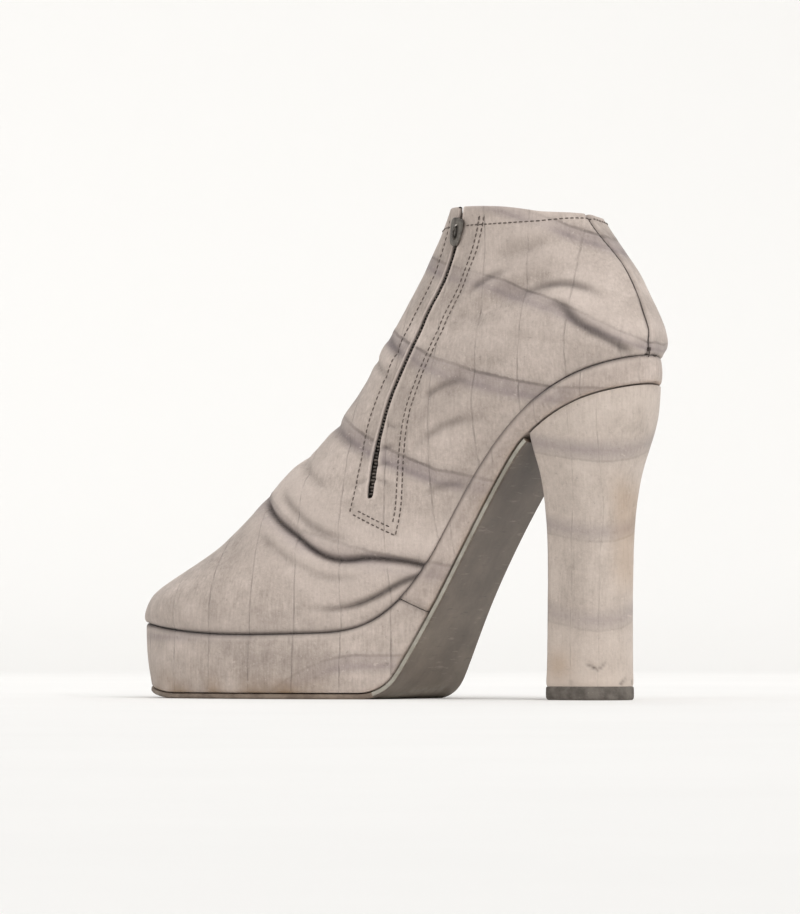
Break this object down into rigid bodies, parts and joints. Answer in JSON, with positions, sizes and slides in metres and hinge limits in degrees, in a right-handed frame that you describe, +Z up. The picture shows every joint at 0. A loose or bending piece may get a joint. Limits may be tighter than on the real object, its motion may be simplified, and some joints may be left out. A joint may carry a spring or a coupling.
{
  "type": "platform ankle boot",
  "caption": "Worn taupe nubuck platform ankle boot with a high block heel, side zip, covered platform and rand, and a slack ankle shaft, standing empty.",
  "frame": {"origin": "middle of the heel's tread face, on the floor", "axes": "+X level toward the toe, +Y toward the medial side (the wearer's left), +Z up"},
  "size_m": [0.2178, 0.0796, 0.185],
  "materials": {
    "upper_leather": "brushed nubuck, worn and creased",
    "cover_leather": "smooth nubuck stretched over a board",
    "heel_leather": "nubuck wrapped over a block, faint dark bands",
    "sole_leather": "painted at the waist, worn rough at the tread",
    "sock_leather": "smooth lining leather",
    "heel_rubber": "scuffed matte",
    "zip_tape": "woven tape with a closed coil",
    "zip_metal": "dull plated"
  },
  "bodies": {
    "root": {"upper": "upper_leather", "insole": "sock_leather", "rand": "cover_leather", "platform": "cover_leather", "outsole": "sole_leather", "heel": "heel_leather", "top_piece": "heel_rubber", "zip": "zip_tape", "zip_slider": "zip_metal"}
  },
  "joints": []
}
